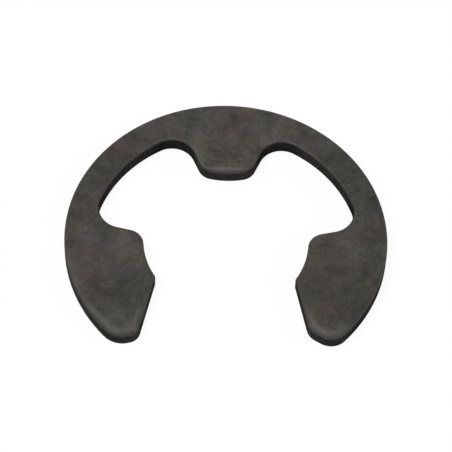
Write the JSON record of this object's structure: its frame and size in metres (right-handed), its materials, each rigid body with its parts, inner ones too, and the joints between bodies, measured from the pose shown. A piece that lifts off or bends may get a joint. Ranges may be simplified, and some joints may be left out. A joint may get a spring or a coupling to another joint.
{
  "type": "e clip retaining ring",
  "caption": "Flat stamped E-shaped spring steel ring that snaps sideways into a shaft groove to hold parts on the shaft.",
  "frame": {"origin": "on the axis of the shaft that the clip seats on, in the plane of the underside", "axes": "+Z along the shaft axis, out of the face with the rolled-over edge; +Y towards the closed side of the rim, where the tab is; the mouth opens towards -Y; +X to the right jaw with +Y up"},
  "size_m": [0.0294, 0.0254, 0.0015],
  "materials": {
    "dark_spring_steel": "dark grey phosphate coating on spring steel, dry and faintly mottled, satin"
  },
  "bodies": {
    "root": {"e_clip": "dark_spring_steel"}
  },
  "joints": []
}
